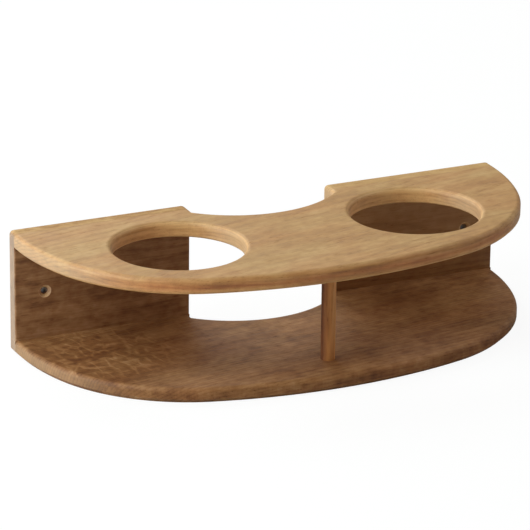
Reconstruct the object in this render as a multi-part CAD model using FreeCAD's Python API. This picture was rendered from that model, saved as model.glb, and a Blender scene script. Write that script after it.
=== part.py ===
import FreeCAD, Part
import math
import os

# Wall glass holder in oiled hardwood: two D-shaped decks glued and dowelled to
# two back panels, with a slim post between the decks. The upper deck has two
# round holes, and both decks have a curved notch at the back.
# Millimetres. The wall is the plane y = 0, the front faces -Y, +Z is up, and
# the origin is midway between the two wall screws.

V = FreeCAD.Vector
up = V(0, 0, 1)
to_wall = V(0, 1, 0)

# Glass holes and the wood left around them
glass_hole_diameter = 82.0
middle_web = 78.0      # between the two holes
side_web = 44.0        # from a hole to the end of the deck
back_web = 15.0        # from a hole to the panels
front_web = 31.0       # from a hole to the frontmost line of the deck

# Boards
overall_height = 80.0
deck_thickness = 10.0
panel_thickness = 10.0

# Deck outline: a side arc that leaves the panel square to the wall, a corner
# arc tangent to it, and one long arc across the front
side_arc_radius = 150.0
side_arc_turn = 19.0   # degrees
front_arc_radius = 320.0

# Notch in both decks between the panels
notch_width = 96.0
notch_depth = 24.0     # beyond the panels
notch_step = 4.5       # square to the wall, before the curve begins

# Post between the decks, on the centre line
post_diameter = 9.0
post_from_front = 27.5
post_socket_depth = 5.0

# Countersunk wall screw holes, one in each panel
screw_from_end = 20.0
screw_hole_diameter = 4.0
screw_head_diameter = 8.0
countersink_angle = 90.0

# Blind dowels in the joints between decks and panels
dowel_diameter = 5.0
dowel_in_panel = 6.0
dowel_in_deck = 12.0
dowel_from_notch = 12.0
dowel_from_end = 17.0

# Edges
edge_round = 3.0       # outside arrises and the upper rims of the glass holes
foot_bevel = 3.0       # arrises on the underside
upper_deck_bevel = 1.5 # lower arris of the upper deck
rim_bevel = 1.0        # lower rims of the glass holes
eased_arris = 1.2      # upright front arrises of the panels, between the decks
ring_bands = 5         # narrow bands that make up the round of a hole or the notch

# Clearances in blind holes
peg_clearance = 0.05   # on the radius
end_clearance = 0.3

# Sizes that follow
hole_radius = glass_hole_diameter / 2
hole_x = (middle_web + glass_hole_diameter) / 2
half_width = hole_x + hole_radius + side_web
overall_depth = panel_thickness + back_web + glass_hole_diameter + front_web
hole_y = -(panel_thickness + back_web + hole_radius)
joint_y = -panel_thickness
step_y = joint_y - notch_step
notch_half = notch_width / 2
screw_x = half_width - screw_from_end
top = overall_height / 2
bottom = -top
upper_deck_z = top - deck_thickness
lower_deck_z = bottom
post_y = -(overall_depth - post_from_front)
widest_round = 0.45    # of a board's thickness
deck_round = min(edge_round, widest_round * deck_thickness)
panel_round = min(edge_round, widest_round * panel_thickness)
underside_bevel = min(foot_bevel, widest_round * deck_thickness, widest_round * panel_thickness)
upper_bevel = min(upper_deck_bevel, widest_round * deck_thickness)
front_heading = -90    # degrees from +X to -Y
full_turn = 360
overshoot = 1.0
tiny = 1e-4


def polar(centre, radius, angle):
    return centre + V(math.cos(angle), math.sin(angle), 0) * radius


def arc(centre, radius, start, end):
    middle = (start + end) / 2
    points = [polar(centre, radius, angle) for angle in (start, middle, end)]
    return Part.Arc(*points).toShape()


def mirrored(shape):
    return shape.mirror(V(0, 0, 0), V(1, 0, 0))


# Right half of the deck's curved edge, as a side arc and a corner arc, and the
# angle at which the front arc takes over
def side_and_corner():
    turn = math.radians(side_arc_turn)
    outward = V(math.cos(turn), -math.sin(turn), 0)
    side_centre = V(half_width - side_arc_radius, joint_y, 0)
    side_end = side_centre + outward * side_arc_radius
    front_centre = V(0, front_arc_radius - overall_depth, 0)

    # The corner circle touches the side arc at its end and the front arc inside
    reach = side_end - front_centre
    corner_radius = (front_arc_radius ** 2 - reach.dot(reach)) / (
        2 * (front_arc_radius - outward.dot(reach)))
    corner_centre = side_end - outward * corner_radius
    towards = corner_centre - front_centre
    meet = math.atan2(towards.y, towards.x)

    side = arc(side_centre, side_arc_radius, 0, -turn)
    corner = arc(corner_centre, corner_radius, -turn, meet)
    return side, corner, front_centre, meet


# Radius and centre of the notch arc, which ends at the square steps
def notch_circle():
    sagitta = notch_depth - notch_step
    radius = (notch_half ** 2 + sagitta ** 2) / (2 * sagitta)
    return radius, V(0, joint_y - notch_depth + radius, 0)


def deck_outline():
    side, corner, front_centre, meet = side_and_corner()
    front = arc(front_centre, front_arc_radius, meet, -math.pi - meet)
    right_end, left_end = V(half_width, joint_y, 0), V(-half_width, joint_y, 0)
    right_notch, left_notch = V(notch_half, joint_y, 0), V(-notch_half, joint_y, 0)
    right_step, left_step = V(notch_half, step_y, 0), V(-notch_half, step_y, 0)
    notch = Part.Arc(left_step, V(0, joint_y - notch_depth, 0), right_step).toShape()
    edges = [side, corner, front, mirrored(corner), mirrored(side),
             Part.makeLine(left_end, left_notch), Part.makeLine(left_notch, left_step), notch,
             Part.makeLine(right_step, right_notch), Part.makeLine(right_notch, right_end)]
    return Part.Wire(Part.__sortEdges__(edges))


# Cross-section of what comes off an arris to round it in a few bands, or to
# bevel it in one. The wood begins at x, and lies above z where wood_above is +1
# and below it where that is -1.
def arris_section(x, z, wood_above, size, bands):
    outer, inside, beyond = x + size, z + wood_above * size, z - wood_above * overshoot
    points = []
    for band in range(bands + 1):
        turn = math.pi / 2 * band / bands
        points.append(V(outer - size * math.sin(turn), 0, inside - wood_above * size * math.cos(turn)))
    if x > overshoot:
        points.append(V(x - overshoot, 0, inside))
    points += [V(max(x - overshoot, 0), 0, beyond), V(outer, 0, beyond)]
    return Part.Face(Part.makePolygon(points + points[:1]))


# What comes off the rim of a hole about the given centre, or off a part of it
def rim_waste(centre, radius, wood_above, size, bands, start=0, sweep=full_turn):
    section = arris_section(radius, centre.z, wood_above, size, bands)
    section.rotate(V(0, 0, 0), up, start)
    ring = section.revolve(V(0, 0, 0), up, sweep)
    ring.translate(V(centre.x, centre.y, 0))
    return ring


# What comes off the notch arris at one level: a part of a ring along the arc,
# a strip along each step, and a cone round each corner between them
def notch_waste(z, wood_above, size, bands):
    radius, centre = notch_circle()
    spread = math.degrees(math.atan2(notch_half, centre.y - step_y))
    curve = rim_waste(centre + up * z, radius, wood_above, size, bands, front_heading - spread, 2 * spread)
    section = arris_section(notch_half, z, wood_above, size, bands)
    section.translate(V(0, step_y, 0))
    strip = section.extrude(to_wall * (notch_step + overshoot))
    corner = rim_waste(V(notch_half, step_y, z), 0, wood_above, size, bands)
    return [curve, strip, mirrored(strip), corner, mirrored(corner)]


# Edges of the curved front and sides at one level of a board
def outer_arrises(board, z):
    return [edge for edge in board.Edges
            if abs(edge.BoundBox.ZMin - z) < tiny and abs(edge.BoundBox.ZMax - z) < tiny
            and edge.BoundBox.YMin < joint_y - tiny and reaches_past_notch(edge.BoundBox)]


def reaches_past_notch(box):
    return max(-box.XMin, box.XMax) > notch_half + deck_thickness


def glass_hole(x):
    foot, head = V(x, hole_y, upper_deck_z), V(x, hole_y, top)
    return [Part.makeCylinder(hole_radius, deck_thickness, foot, up),
            rim_waste(foot, hole_radius, 1, rim_bevel, 1),
            rim_waste(head, hole_radius, -1, deck_round, ring_bands)]


def dowel_places():
    places = []
    for side in (-1, 1):
        for x in (notch_half + dowel_from_notch, half_width - dowel_from_end):
            for z in (lower_deck_z, upper_deck_z):
                places.append((side * x, z + deck_thickness / 2))
    return places


# Blind holes for the dowels, running from each deck into its panel
def dowel_bores():
    radius = dowel_diameter / 2 + peg_clearance
    length = dowel_in_deck + dowel_in_panel + 2 * end_clearance
    y = joint_y - dowel_in_deck - end_clearance
    return [Part.makeCylinder(radius, length, V(x, y, z), to_wall) for x, z in dowel_places()]


def joint_dowels():
    length = dowel_in_deck + dowel_in_panel
    y = joint_y - dowel_in_deck
    return Part.makeCompound([Part.makeCylinder(dowel_diameter / 2, length, V(x, y, z), to_wall)
                              for x, z in dowel_places()])


# Blind sockets for the post, open to the space between the decks
def post_sockets():
    radius = post_diameter / 2 + peg_clearance
    lower = V(0, post_y, lower_deck_z + deck_thickness - post_socket_depth)
    upper = V(0, post_y, upper_deck_z)
    return [Part.makeCylinder(radius, post_socket_depth, lower, up),
            Part.makeCylinder(radius, post_socket_depth, upper, up)]


def front_post():
    clear_height = overall_height - 2 * deck_thickness
    length = clear_height + 2 * post_socket_depth - end_clearance
    foot = V(0, post_y, lower_deck_z + deck_thickness - post_socket_depth)
    return Part.makeCylinder(post_diameter / 2, length, foot, up)


# A board of the deck outline, rounded above and bevelled below
def deck(z, bevel, holes):
    board = Part.Face(deck_outline()).extrude(up * deck_thickness)
    board.translate(V(0, 0, z))
    head = z + deck_thickness
    for waste in notch_waste(z, 1, bevel, 1) + notch_waste(head, -1, deck_round, ring_bands):
        board = board.cut(waste)
    board = board.makeFillet(deck_round, outer_arrises(board, head))
    board = board.makeChamfer(bevel, outer_arrises(board, z))
    return board.cut(holes + dowel_bores() + post_sockets())


# Through hole with a countersink in the front face
def screw_hole(x):
    radius, head_radius = screw_hole_diameter / 2, screw_head_diameter / 2
    depth = (head_radius - radius) / math.tan(math.radians(countersink_angle / 2))
    shank = Part.makeCylinder(radius, panel_thickness, V(x, joint_y, 0), to_wall)
    sink = Part.makeCone(head_radius, radius, depth, V(x, joint_y, 0), to_wall)
    return shank.fuse(sink)


# What a rounding cutter takes off an upright front arris between the decks.
# inward is +1 where the wood lies towards +X of the arris.
def arris_waste(x, inward):
    height = overall_height - 2 * deck_thickness
    z = lower_deck_z + deck_thickness
    centre = V(x + inward * eased_arris, joint_y + eased_arris, z)
    corner = V(min(x, centre.x), joint_y, z)
    block = Part.makeBox(eased_arris, eased_arris, height, corner)
    return block.cut(Part.makeCylinder(eased_arris, height, centre, up))


# Arrises that aren't on the front face
def free_arrises(board):
    return [edge for edge in board.Edges if edge.BoundBox.YMax > joint_y + tiny]


# The right panel is worked out and the left one is its mirror image. Its back
# and end arrises are bevelled at the underside and rounded elsewhere, and its
# front face is square where decks meet it.
def back_panel(side):
    width = half_width - notch_half
    board = Part.makeBox(width, panel_thickness, overall_height, V(notch_half, joint_y, bottom))
    foot = [edge for edge in free_arrises(board) if edge.BoundBox.ZMax < bottom + tiny]
    board = board.makeChamfer(underside_bevel, foot)
    rest = [edge for edge in free_arrises(board) if edge.BoundBox.ZMax > bottom + underside_bevel + tiny]
    board = board.makeFillet(panel_round, rest)
    waste = [arris_waste(notch_half, 1), arris_waste(half_width, -1)]
    board = board.cut(waste + [screw_hole(screw_x)])
    if side < 0:
        board = board.mirror(V(0, 0, 0), V(1, 0, 0))
    return board.cut(dowel_bores())


nodes = {
    "top_deck": deck(upper_deck_z, upper_bevel, glass_hole(-hole_x) + glass_hole(hole_x)),
    "bottom_deck": deck(lower_deck_z, underside_bevel, []),
    "left_back_panel": back_panel(-1),
    "right_back_panel": back_panel(1),
    "front_post": front_post(),
    "joint_dowels": joint_dowels(),
}

os.makedirs("parts", exist_ok=True)
for name, shape in nodes.items():
    shape.exportStep("parts/" + name + ".step")
    print(name, len(shape.Solids), "solid", round(shape.Volume / 1000, 2), "cm3", shape.isValid())
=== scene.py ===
import math

import bpy
from mathutils import Matrix, Vector


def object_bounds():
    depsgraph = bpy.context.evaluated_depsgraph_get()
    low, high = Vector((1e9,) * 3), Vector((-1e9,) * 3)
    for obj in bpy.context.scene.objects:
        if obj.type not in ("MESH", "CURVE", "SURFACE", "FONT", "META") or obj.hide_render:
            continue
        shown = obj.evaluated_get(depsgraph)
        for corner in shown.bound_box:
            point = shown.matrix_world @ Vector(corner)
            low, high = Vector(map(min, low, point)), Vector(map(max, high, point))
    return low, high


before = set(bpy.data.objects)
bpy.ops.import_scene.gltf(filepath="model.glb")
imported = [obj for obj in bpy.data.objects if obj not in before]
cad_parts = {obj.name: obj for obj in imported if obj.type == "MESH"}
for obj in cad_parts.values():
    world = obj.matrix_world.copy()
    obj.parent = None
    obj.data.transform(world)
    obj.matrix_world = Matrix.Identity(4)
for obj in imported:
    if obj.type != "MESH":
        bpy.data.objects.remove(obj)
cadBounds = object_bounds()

# Wall glass holder: two oiled oak decks on two back panels, with a slim post.
# Metres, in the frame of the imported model: wall at y = 0, front towards -Y.
print("frame loaded:", ", ".join(sorted(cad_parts)))


# sRGB hex text to the linear colour that the nodes take
def linear(hexText):
    parts = [int(hexText[i:i + 2], 16) / 255 for i in (1, 3, 5)]
    return [p / 12.92 if p <= 0.04045 else ((p + 0.055) / 1.055) ** 2.4 for p in parts] + [1.0]


# Adds a node. Inputs are given by name or number, as a value or as a socket to link from.
def addNode(tree, kind, inputs=None, **settings):
    node = tree.nodes.new(kind)
    for name, value in settings.items():
        setattr(node, name, value)
    for key, value in (inputs or {}).items():
        if isinstance(value, bpy.types.NodeSocket):
            tree.links.new(value, node.inputs[key])
        else:
            node.inputs[key].default_value = value
    return node


# Oak, sawn into boards, sanded and wiped with oil: a satin brown with dark open
# pores along the grain, growth rings as fine streaks, pale ray flecks where the
# face is quarter-sawn, and paler rubbed arrises. Some faces and bores are painted darker as painted shade,
# and some paler as painted light.
oakTones = [(0.00, "#4d2e14"), (0.22, "#784c27"), (0.45, "#9f713d"), (0.68, "#bf9156"), (1.00, "#e1ba80")]
rosyTint = "#ffeee8"
arrisPaler = 0.3
endGrainFrom = 0.35    # how squarely a face looks along the grain before it counts

# Figure of the oak: its size in mm along the grain, across it and through the board,
# and how many layers of detail it has. A sander's marks are really 0.2 mm apart or
# less, and the comb is drawn coarser so that it shows.
oakFigure = {
    "sway": ((240, 60, 60), 2),      # slow wander of the growth rings
    "bands": ((320, 15, 15), 2),     # long lighter and darker bands
    "mottle": ((26, 16, 16), 2),     # soft clouds
    "flecks": ((7, 5, 4), 2),        # small blotches
    "streaks": ((75, 3.2, 3.2), 2),
    "fibre": ((24, 0.9, 0.9), 3),
    "pores": ((7, 0.6, 0.6), 1),
    "flame": ((60, 24, 24), 2),      # wide clouds, golden to rosy
    "comb": ((1.4, 1.4, 40), 1),     # upright marks of the sander, on edges
    "lines": ((45, 30, 2.6), 2),     # level growth rings, on edges
}
figureRoughness = 0.55

# Growth rings: width and sway in mm, how pale they are from the early wood to the
# late, and how much more they show on end grain
growthRings = {"width": 2.1, "sway": 9.0, "endGrain": 0.16,
               "pale": [(0.00, 1.00), (0.35, 0.15), (0.80, 0.00), (1.00, 0.85)]}

# Open pores, 0.3 mm in real oak, drawn about twice as wide so that they show. The
# share is what is left of them in the late wood.
openPores = {"from": 0.60, "to": 0.72, "lateShare": 0.4}

# Ray flecks: broken pale threads round irregular cells, sizes in mm. The core is the
# share of the patch that has them in full.
rayFlecks = {"cell": (8, 15, 15), "bendScale": 0.8, "bend": (1.3, 1.3, 0), "thread": 0.17,
             "break": (8, 10, 10), "breakFrom": 0.34, "breakTo": 0.56, "darkBetween": 0.4, "core": 0.4}

# Oiled surface: roughness of its smoothest and roughest fibres, what an open pore
# adds to that, and a relief of a fraction of a millimetre, in metres
oiledSurface = {"smooth": 0.50, "rough": 0.68, "poreRough": 0.25, "ior": 1.5, "relief": 0.0003,
                "reliefStrength": 0.4, "streakRelief": 0.8, "poreRelief": -1.2}

# Walls of bores: which directions count towards the distance from the axis, how far
# the wall is from it, and how much paler or darker it is. The tone fades out over
# the edge, in metres like the reach.
# The walls of the glass holes are painted paler all round: painted light.
paintedLightHoleWall = {"across": (1, 1, 0), "reach": 0.0423, "tone": 0.18}
# The pilot hole's wall is painted nearly black: painted shade in the deep hole.
paintedShadePilot = {"across": (1, 0, 1), "reach": 0.0024, "tone": -0.9}
# The countersink is painted paler all round: bare wood in the cut, and painted light where its flank faces
# the lamps.
countersinkBareAndPaintedLight = {"across": (1, 1, 1), "reach": 0.0043, "tone": 0.35}
boreEdge = 0.0003

# Each board: its place in the log (shift in mm, turn in degrees), which way its
# grain runs, the wash on its level faces and on its upright ones, where a darker
# upright wash is painted shade, its pale end grain, its tone, how strong each figure
# is, how far its upright corners are rubbed pale, and its gloss. Some have more:
# painted shade that darkens upright faces, painted light that makes a board lighter
# towards the top, painted shade on one side of a stick, and the bores, the rays and
# a painted shade along the front edge have their own notes below. All places are in metres.
boards = {
    "top_deck": {
        "shift": (1136, 70, 190), "turn": (0, 0, -12), "grain": "x",
        "faceWash": "#ffffff", "uprightShadeWash": "#f8e6d3", "endTone": "#d0b593", "endShare": 0.42,
        "tone": 0.71, "bands": 0.16, "mottle": 0.30, "flecks": 0.27, "streaks": 0.20, "fibre": 0.19,
        "rings": 0.07, "pores": 0.20, "flame": 0.7, "comb": 0.05, "lines": 0.8, "corners": 0.0,
        "gloss": 0.75,
        "bores": [((-0.08, -0.066, 0), paintedLightHoleWall), ((0.08, -0.066, 0), paintedLightHoleWall)],
        "paintedFrontShade": {"height": 0.0345, "reach": 0.0030, "wander": 0.003, "from": -0.090, "to": -0.116,
                      "wash": "#f2d8c4"}},
    "bottom_deck": {
        "shift": (1155, 160, 90), "turn": (0, 0, -8), "grain": "x",
        "faceWash": "#d9ceda", "uprightShadeWash": "#d0bebe", "endTone": "#bd9873", "endShare": 0.5,
        "tone": 0.575, "bands": 0.20, "mottle": 0.60, "flecks": 0.56, "streaks": 0.24, "fibre": 0.24,
        "rings": 0.10, "pores": 0.26, "flame": 0.5, "comb": 0.16, "lines": 0.4, "corners": 0.0,
        "gloss": 0.35,
        "rays": {"place": (-0.122, -0.052, -0.03), "reach": 0.060, "tone": 0.26}},
    "left_back_panel": {
        "shift": (1174, 60, 120), "turn": (58, 0, 0), "grain": "x",
        "faceWash": "#ffffff", "uprightShadeWash": "#dcd4ee", "endTone": "#c0a996", "endShare": 0.5,
        "tone": 0.83, "bands": 0.62, "mottle": 0.26, "flecks": 0.60, "streaks": 0.24, "fibre": 0.40,
        "rings": 0.14, "pores": 0.22, "flame": 0.3, "comb": 0.0, "lines": 0.0, "corners": 1.0,
        "gloss": 0.35, "paintedShadeUpright": 0.20,
        "bores": [((-0.145, 0, 0), paintedShadePilot), ((-0.145, -0.01, 0), countersinkBareAndPaintedLight)]},
    "right_back_panel": {
        "shift": (2122, 90, 60), "turn": (40, 0, 0), "grain": "x",
        "faceWash": "#ffffff", "uprightShadeWash": "#dbd2da", "endTone": "#d8b48a", "endShare": 0.5,
        "tone": 0.65, "bands": 0.34, "mottle": 0.26, "flecks": 0.24, "streaks": 0.24, "fibre": 0.22,
        "rings": 0.12, "pores": 0.22, "flame": 0.3, "comb": 0.0, "lines": 0.0, "corners": 1.0,
        # lighter towards the top, darker towards the bottom: painted light and shade
        "gloss": 0.35, "paintedLightUpwards": (0, 0, 5.5),
        "bores": [((0.145, 0, 0), paintedShadePilot), ((0.145, -0.01, 0), countersinkBareAndPaintedLight)]},
    "front_post": {
        "shift": (70, 40, 30), "turn": (0, 90, 0), "grain": "z",
        "faceWash": "#ffe3d5", "uprightShadeWash": "#ffe3d5", "endTone": "#c79e72", "endShare": 0.5,
        "tone": 0.575, "bands": 0.10, "mottle": 0.10, "flecks": 0.08, "streaks": 0.26, "fibre": 0.24,
        "rings": 0.14, "pores": 0.20, "flame": 0.2, "comb": 0.0, "lines": 0.0, "corners": 0.0,
        # one side of the post darker, the other paler: painted shade and light
        "gloss": 0.35, "paintedShadeSide": (0.42, -0.20, 0)},
    "joint_dowels": {
        "shift": (10, 20, 30), "turn": (0, 0, 90), "grain": "y",
        "faceWash": "#ffffff", "uprightShadeWash": "#ffffff", "endTone": "#e3c8aa", "endShare": 0.5,
        "tone": 0.82, "bands": 0.08, "mottle": 0.06, "flecks": 0.04, "streaks": 0.12, "fibre": 0.16,
        "rings": 0.04, "pores": 0.06, "flame": 0.2, "comb": 0.0, "lines": 0.0, "corners": 0.0,
        "gloss": 0.2},
}


def oiledOak(name, board):
    material = bpy.data.materials.new(name)
    material.use_nodes = True
    tree = material.node_tree
    tree.nodes.clear()
    coordinates = addNode(tree, "ShaderNodeTexCoord")
    place, facing = coordinates.outputs["Object"], coordinates.outputs["Normal"]

    # Millimetres, with x along the grain
    log = addNode(tree, "ShaderNodeMapping", {
        "Vector": place, "Location": board["shift"],
        "Rotation": [math.radians(angle) for angle in board["turn"]], "Scale": (1000, 1000, 1000)})
    figure = {}
    for key, (size, detail) in oakFigure.items():
        stretched = addNode(tree, "ShaderNodeVectorMath", {
            0: log.outputs["Vector"], 1: [1 / side for side in size]}, operation="MULTIPLY")
        figure[key] = addNode(tree, "ShaderNodeTexNoise", {
            "Vector": stretched.outputs[0], "Scale": 1.0, "Detail": detail,
            "Roughness": figureRoughness}).outputs["Fac"]

    # Growth rings: distance from the pith, swayed along the board
    crossways = addNode(tree, "ShaderNodeVectorMath", {
        0: log.outputs["Vector"], 1: (0, 1, 1)}, operation="MULTIPLY")
    fromPith = addNode(tree, "ShaderNodeVectorMath", {0: crossways.outputs[0]}, operation="LENGTH")
    swayed = addNode(tree, "ShaderNodeMath", {
        0: figure["sway"], 1: 2 * growthRings["sway"], 2: fromPith.outputs["Value"]},
        operation="MULTIPLY_ADD")
    ringNumber = addNode(tree, "ShaderNodeMath", {
        0: swayed.outputs[0], 1: growthRings["width"]}, operation="DIVIDE")
    ringPart = addNode(tree, "ShaderNodeMath", {0: ringNumber.outputs[0]}, operation="FRACT")
    earlyWood = addNode(tree, "ShaderNodeValToRGB", {"Fac": ringPart.outputs[0]})
    steps = earlyWood.color_ramp.elements
    steps[0].color = [growthRings["pale"][0][1]] * 3 + [1]
    steps[1].color = [growthRings["pale"][-1][1]] * 3 + [1]
    for position, grey in growthRings["pale"][1:-1]:
        steps.new(position).color = [grey] * 3 + [1]

    # Open pores, fewer in the late wood
    poreSpots = addNode(tree, "ShaderNodeMapRange", {
        "Value": figure["pores"], "From Min": openPores["from"], "From Max": openPores["to"]},
        interpolation_type="SMOOTHSTEP")
    poreRows = addNode(tree, "ShaderNodeMath", {
        0: earlyWood.outputs["Color"], 1: 1 - openPores["lateShare"], 2: openPores["lateShare"]},
        operation="MULTIPLY_ADD")
    pores = addNode(tree, "ShaderNodeMath", {
        0: poreSpots.outputs[0], 1: poreRows.outputs[0]}, operation="MULTIPLY")

    # Rounded arrises, found from the way that the surface faces
    axes = addNode(tree, "ShaderNodeSeparateXYZ", {"Vector": facing})
    squares = [addNode(tree, "ShaderNodeMath", {0: axis, 1: axis}, operation="MULTIPLY").outputs[0]
               for axis in axes.outputs]
    upright = addNode(tree, "ShaderNodeMath", {0: 1.0, 1: squares[2]}, operation="SUBTRACT").outputs[0]
    levelArris = addNode(tree, "ShaderNodeMath", {0: upright, 1: squares[2]}, operation="MULTIPLY")
    uprightArris = addNode(tree, "ShaderNodeMath", {0: squares[0], 1: squares[1]}, operation="MULTIPLY")
    arris = addNode(tree, "ShaderNodeMath", {
        0: uprightArris.outputs[0], 1: board["corners"], 2: levelArris.outputs[0]},
        operation="MULTIPLY_ADD")

    # End grain, where the face looks along the grain. Its growth rings stand out more.
    endGrain = addNode(tree, "ShaderNodeMapRange", {
        "Value": squares["xyz".index(board["grain"])], "From Min": endGrainFrom, "From Max": 1.0},
        interpolation_type="SMOOTHSTEP").outputs[0]
    ringShow = addNode(tree, "ShaderNodeMath", {
        0: endGrain, 1: growthRings["endGrain"], 2: board["rings"]}, operation="MULTIPLY_ADD")
    rings = addNode(tree, "ShaderNodeMath", {
        0: earlyWood.outputs["Color"], 1: ringShow.outputs[0]}, operation="MULTIPLY")

    # All the figures add up to one tone, which picks the colour
    parts = [(figure[key], board[key]) for key in ("bands", "mottle", "flecks", "streaks", "fibre")]
    tone = board["tone"] - 0.5 * sum(weight for source, weight in parts)
    parts += [(rings.outputs[0], -1.0), (pores.outputs[0], -board["pores"]),
              (arris.outputs[0], arrisPaler)]

    # Marks on upright faces only
    for key in ("comb", "lines"):
        marks = addNode(tree, "ShaderNodeMath", {0: figure[key], 1: 0.5}, operation="SUBTRACT")
        edgeMarks = addNode(tree, "ShaderNodeMath", {0: marks.outputs[0], 1: upright}, operation="MULTIPLY")
        parts.append((edgeMarks.outputs[0], board[key]))

    # Upright faces painted darker: painted shade
    if "paintedShadeUpright" in board:
        parts.append((upright, -board["paintedShadeUpright"]))

    # Painted light: a board lighter towards the top; painted shade: a stick with one side darker than the
    # other
    for key, source in (("paintedLightUpwards", place), ("paintedShadeSide", facing)):
        if key in board:
            paintedTone = addNode(tree, "ShaderNodeVectorMath", {0: source, 1: board[key]}, operation="DOT_PRODUCT")
            parts.append((paintedTone.outputs["Value"], 1.0))

    # Walls of the bores, found by their distance from the axis: painted light, painted shade and bare wood,
    # as set above
    for axisPlace, bore in board.get("bores", []):
        flat = addNode(tree, "ShaderNodeVectorMath", {0: place, 1: bore["across"]}, operation="MULTIPLY")
        fromAxis = addNode(tree, "ShaderNodeVectorMath", {0: flat.outputs[0], 1: axisPlace},
                           operation="DISTANCE")
        inBore = addNode(tree, "ShaderNodeMapRange", {
            "Value": fromAxis.outputs["Value"], "From Min": bore["reach"],
            "From Max": bore["reach"] - boreEdge})
        parts.append((inBore.outputs[0], bore["tone"]))

    # Ray flecks, in one patch of the board
    if "rays" in board:
        wandering = addNode(tree, "ShaderNodeVectorMath", {
            0: log.outputs["Vector"], 1: [1 / side for side in rayFlecks["cell"]]}, operation="MULTIPLY")
        bent = addNode(tree, "ShaderNodeTexNoise", {
            "Vector": wandering.outputs[0], "Scale": rayFlecks["bendScale"], "Detail": 2})
        bentPlace = addNode(tree, "ShaderNodeVectorMath", {
            0: bent.outputs["Color"], 1: rayFlecks["bend"], 2: wandering.outputs[0]},
            operation="MULTIPLY_ADD")
        cells = addNode(tree, "ShaderNodeTexVoronoi", {
            "Vector": bentPlace.outputs[0], "Scale": 1.0}, feature="DISTANCE_TO_EDGE")
        threads = addNode(tree, "ShaderNodeMapRange", {
            "Value": cells.outputs["Distance"], "From Min": 0.0, "From Max": rayFlecks["thread"],
            "To Min": 1.0, "To Max": 0.0}, interpolation_type="SMOOTHSTEP")
        stretched = addNode(tree, "ShaderNodeVectorMath", {
            0: log.outputs["Vector"], 1: [1 / side for side in rayFlecks["break"]]}, operation="MULTIPLY")
        breaks = addNode(tree, "ShaderNodeTexNoise", {
            "Vector": stretched.outputs[0], "Scale": 1.0, "Detail": 1, "Roughness": figureRoughness})
        whole = addNode(tree, "ShaderNodeMapRange", {
            "Value": breaks.outputs["Fac"], "From Min": rayFlecks["breakFrom"],
            "From Max": rayFlecks["breakTo"]}, interpolation_type="SMOOTHSTEP")
        brokenThreads = addNode(tree, "ShaderNodeMath", {
            0: threads.outputs[0], 1: whole.outputs[0]}, operation="MULTIPLY")
        onDark = addNode(tree, "ShaderNodeMath", {
            0: brokenThreads.outputs[0], 1: rayFlecks["darkBetween"]}, operation="SUBTRACT")
        fromPatch = addNode(tree, "ShaderNodeVectorMath", {0: place, 1: board["rays"]["place"]},
                            operation="DISTANCE")
        patch = addNode(tree, "ShaderNodeMapRange", {
            "Value": fromPatch.outputs["Value"], "From Min": rayFlecks["core"] * board["rays"]["reach"],
            "From Max": board["rays"]["reach"], "To Min": 1.0, "To Max": 0.0},
            interpolation_type="SMOOTHSTEP")
        rays = addNode(tree, "ShaderNodeMath", {
            0: onDark.outputs[0], 1: patch.outputs[0]}, operation="MULTIPLY")
        parts.append((rays.outputs[0], board["rays"]["tone"]))

    for source, weight in parts:
        tone = addNode(tree, "ShaderNodeMath", {
            0: source, 1: weight, 2: tone}, operation="MULTIPLY_ADD").outputs[0]
    wood = addNode(tree, "ShaderNodeValToRGB", {"Fac": tone})
    steps = wood.color_ramp.elements
    steps[0].color, steps[1].color = linear(oakTones[0][1]), linear(oakTones[-1][1])
    for position, hexText in oakTones[1:-1]:
        steps.new(position).color = linear(hexText)

    # Rosy clouds, then the washes; the darker wash on upright faces is painted shade
    flame = addNode(tree, "ShaderNodeMapRange", {
        "Value": figure["flame"], "From Min": 0.35, "From Max": 0.65, "To Max": board["flame"]})
    rosy = addNode(tree, "ShaderNodeMix", {
        "Factor": flame.outputs[0], "A": wood.outputs["Color"], "B": linear(rosyTint)},
        data_type="RGBA", blend_type="MULTIPLY")
    wash = addNode(tree, "ShaderNodeMix", {
        "Factor": upright, "A": linear(board["faceWash"]), "B": linear(board["uprightShadeWash"])},
        data_type="RGBA")
    washed = addNode(tree, "ShaderNodeMix", {
        "Factor": 1.0, "A": rosy.outputs["Result"], "B": wash.outputs["Result"]},
        data_type="RGBA", blend_type="MULTIPLY")

    # Darker, redder line along the middle of the front edge: painted shade, in metres
    if "paintedFrontShade" in board:
        streak = board["paintedFrontShade"]
        spot = addNode(tree, "ShaderNodeSeparateXYZ", {"Vector": place})
        drifted = addNode(tree, "ShaderNodeMath", {
            0: figure["bands"], 1: streak["wander"], 2: spot.outputs["Z"]}, operation="MULTIPLY_ADD")
        offLine = addNode(tree, "ShaderNodeMath", {
            0: drifted.outputs[0], 1: streak["height"] + 0.5 * streak["wander"]}, operation="SUBTRACT")
        fromLine = addNode(tree, "ShaderNodeMath", {0: offLine.outputs[0]}, operation="ABSOLUTE")
        line = addNode(tree, "ShaderNodeMapRange", {
            "Value": fromLine.outputs[0], "From Max": streak["reach"], "To Min": 1.0, "To Max": 0.0},
            interpolation_type="SMOOTHSTEP")
        nearFront = addNode(tree, "ShaderNodeMapRange", {
            "Value": spot.outputs["Y"], "From Min": streak["from"], "From Max": streak["to"]})
        paintedShadeHere = addNode(tree, "ShaderNodeMath", {
            0: line.outputs[0], 1: nearFront.outputs[0]}, operation="MULTIPLY")
        washed = addNode(tree, "ShaderNodeMix", {
            "Factor": paintedShadeHere.outputs[0], "A": washed.outputs["Result"], "B": linear(streak["wash"])},
            data_type="RGBA", blend_type="MULTIPLY")

    # Pale end grain
    endMix = addNode(tree, "ShaderNodeMath", {0: endGrain, 1: board["endShare"]}, operation="MULTIPLY")
    colour = addNode(tree, "ShaderNodeMix", {
        "Factor": endMix.outputs[0], "A": washed.outputs["Result"], "B": linear(board["endTone"])},
        data_type="RGBA")

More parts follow.
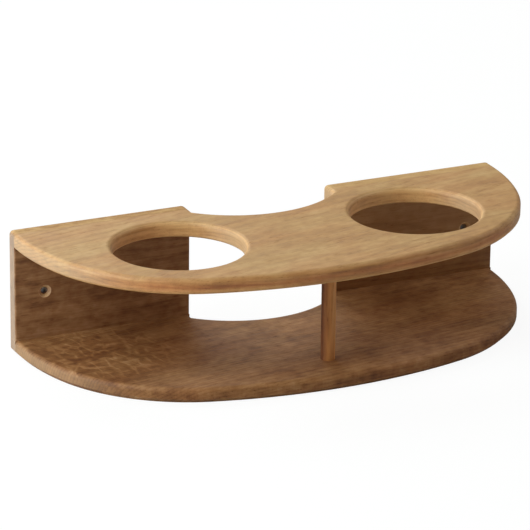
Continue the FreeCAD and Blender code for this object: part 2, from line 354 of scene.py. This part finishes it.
    # Sheen and relief
    sheen = addNode(tree, "ShaderNodeMapRange", {
        "Value": figure["fibre"], "From Min": 0.3, "From Max": 0.7,
        "To Min": oiledSurface["smooth"], "To Max": oiledSurface["rough"]})
    roughness = addNode(tree, "ShaderNodeMath", {
        0: pores.outputs[0], 1: oiledSurface["poreRough"], 2: sheen.outputs[0]}, operation="MULTIPLY_ADD")
    grooves = addNode(tree, "ShaderNodeMath", {
        0: pores.outputs[0], 1: oiledSurface["poreRelief"], 2: figure["fibre"]}, operation="MULTIPLY_ADD")
    relief = addNode(tree, "ShaderNodeMath", {
        0: figure["streaks"], 1: oiledSurface["streakRelief"], 2: grooves.outputs[0]},
        operation="MULTIPLY_ADD")
    bump = addNode(tree, "ShaderNodeBump", {
        "Height": relief.outputs[0], "Strength": oiledSurface["reliefStrength"],
        "Distance": oiledSurface["relief"]})
    surface = addNode(tree, "ShaderNodeBsdfPrincipled", {
        "Base Color": colour.outputs["Result"], "Roughness": roughness.outputs[0], "Normal": bump.outputs[0],
        "IOR": oiledSurface["ior"], "Specular IOR Level": board["gloss"]})
    addNode(tree, "ShaderNodeOutputMaterial", {"Surface": surface.outputs[0]})
    return material


for name, board in boards.items():
    oak = oiledOak("oiledOak_" + name, board)
    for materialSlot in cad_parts[name].material_slots:
        materialSlot.material = oak
print("oak on", len(boards), "nodes")

# Plain white floor under the holder, which stands on its lower deck. The camera sees
# it white, with a share of the paint so that the shadow stays.
floorLook = {"radius": 6.0, "colour": "#e6e6e4", "glow": 1.05, "shadowShare": 0.12}
bpy.ops.object.select_all(action="DESELECT")
bpy.ops.mesh.primitive_circle_add(vertices=96, radius=floorLook["radius"], fill_type="NGON",
                                  location=(0, 0, cadBounds[0][2]))
floor = bpy.context.object
floor.name = "floor"
floorPaint = bpy.data.materials.new("mattWhiteFloor")
floorPaint.use_nodes = True
tree = floorPaint.node_tree
tree.nodes.clear()
path = addNode(tree, "ShaderNodeLightPath")
paint = addNode(tree, "ShaderNodeBsdfDiffuse", {"Color": linear(floorLook["colour"])})
white = addNode(tree, "ShaderNodeEmission", {"Color": linear("#ffffff"), "Strength": floorLook["glow"]})
seen = addNode(tree, "ShaderNodeMath", {
    0: path.outputs["Is Camera Ray"], 1: 1 - floorLook["shadowShare"]}, operation="MULTIPLY")
both = addNode(tree, "ShaderNodeMixShader", {0: seen.outputs[0], 1: paint.outputs[0], 2: white.outputs[0]})
addNode(tree, "ShaderNodeOutputMaterial", {"Surface": both.outputs[0]})
floor.data.materials.append(floorPaint)

# Soft lamps, all aimed at the holder: place and size in metres, power in watts
lampColour = "#ecfbff"
lampAim = (0, -0.07, 0)
lamps = {
    "leftLow": {"place": (-1.5, -0.2, 0.25), "size": 1.0, "power": 12.9},
    "leftHigh": {"place": (-1.2, -0.3, 1.1), "size": 1.0, "power": 13.7},
    "rightHigh": {"place": (1.3, -0.3, 1.0), "size": 1.0, "power": 4.5},
    "backHigh": {"place": (0.0, 1.2, 1.1), "size": 1.0, "power": 9.2},
    "backLeft": {"place": (-1.0, 1.0, 0.8), "size": 1.0, "power": 7.7},
}
for name, lamp in lamps.items():
    light = bpy.data.lights.new(name, "AREA")
    light.shape, light.size, light.energy = "DISK", lamp["size"], lamp["power"]
    light.color = linear(lampColour)[:3]
    lampStand = bpy.data.objects.new(name, light)
    lampStand.location = lamp["place"]
    away = Vector(lamp["place"]) - Vector(lampAim)
    lampStand.rotation_euler = away.to_track_quat("Z", "Y").to_euler()
    bpy.context.scene.collection.objects.link(lampStand)

# The studio round it: white where it is seen, grey in the sheen, and a dim warm fill
studioLook = {"seen": "#ffffff", "sheen": "#b8b2aa", "fill": "#644f3c"}
world = bpy.data.worlds.new("whiteStudio")
bpy.context.scene.world = world
world.use_nodes = True
tree = world.node_tree
tree.nodes.clear()
path = addNode(tree, "ShaderNodeLightPath")
seen = addNode(tree, "ShaderNodeMath", {
    0: path.outputs["Is Camera Ray"], 1: path.outputs["Is Transmission Ray"]}, operation="MAXIMUM")
unseen = addNode(tree, "ShaderNodeMix", {
    "Factor": path.outputs["Is Glossy Ray"], "A": linear(studioLook["fill"]),
    "B": linear(studioLook["sheen"])}, data_type="RGBA")
glow = addNode(tree, "ShaderNodeMix", {
    "Factor": seen.outputs[0], "A": unseen.outputs["Result"], "B": linear(studioLook["seen"])},
    data_type="RGBA")
sky = addNode(tree, "ShaderNodeBackground", {"Color": glow.outputs["Result"], "Strength": 1.0})
addNode(tree, "ShaderNodeOutputWorld", {"Surface": sky.outputs[0]})
print("floor, lamps and world set")

# Camera: a long lens from the left and above. Right and up are the picture's
# own directions, so the slight roll is in them.
view = {"place": (-0.968042, -2.103686, 0.864208), "right": (0.908780, -0.417123, 0.011291),
        "up": (0.137362, 0.324602, 0.935823), "lens": 266.048}
camera = bpy.data.cameras.new("camera")
camera.sensor_fit, camera.sensor_width, camera.lens = "HORIZONTAL", 36.0, view["lens"]
camera.clip_start, camera.clip_end = 0.1, 50.0
eye = bpy.data.objects.new("camera", camera)
right, up = Vector(view["right"]).normalized(), Vector(view["up"]).normalized()
pictureAxes = Matrix((right, up, right.cross(up))).transposed()
eye.matrix_world = Matrix.Translation(view["place"]) @ pictureAxes.to_4x4()
bpy.context.scene.collection.objects.link(eye)
bpy.context.scene.camera = eye
bpy.context.scene.view_settings.view_transform = "Standard"
print("camera set")
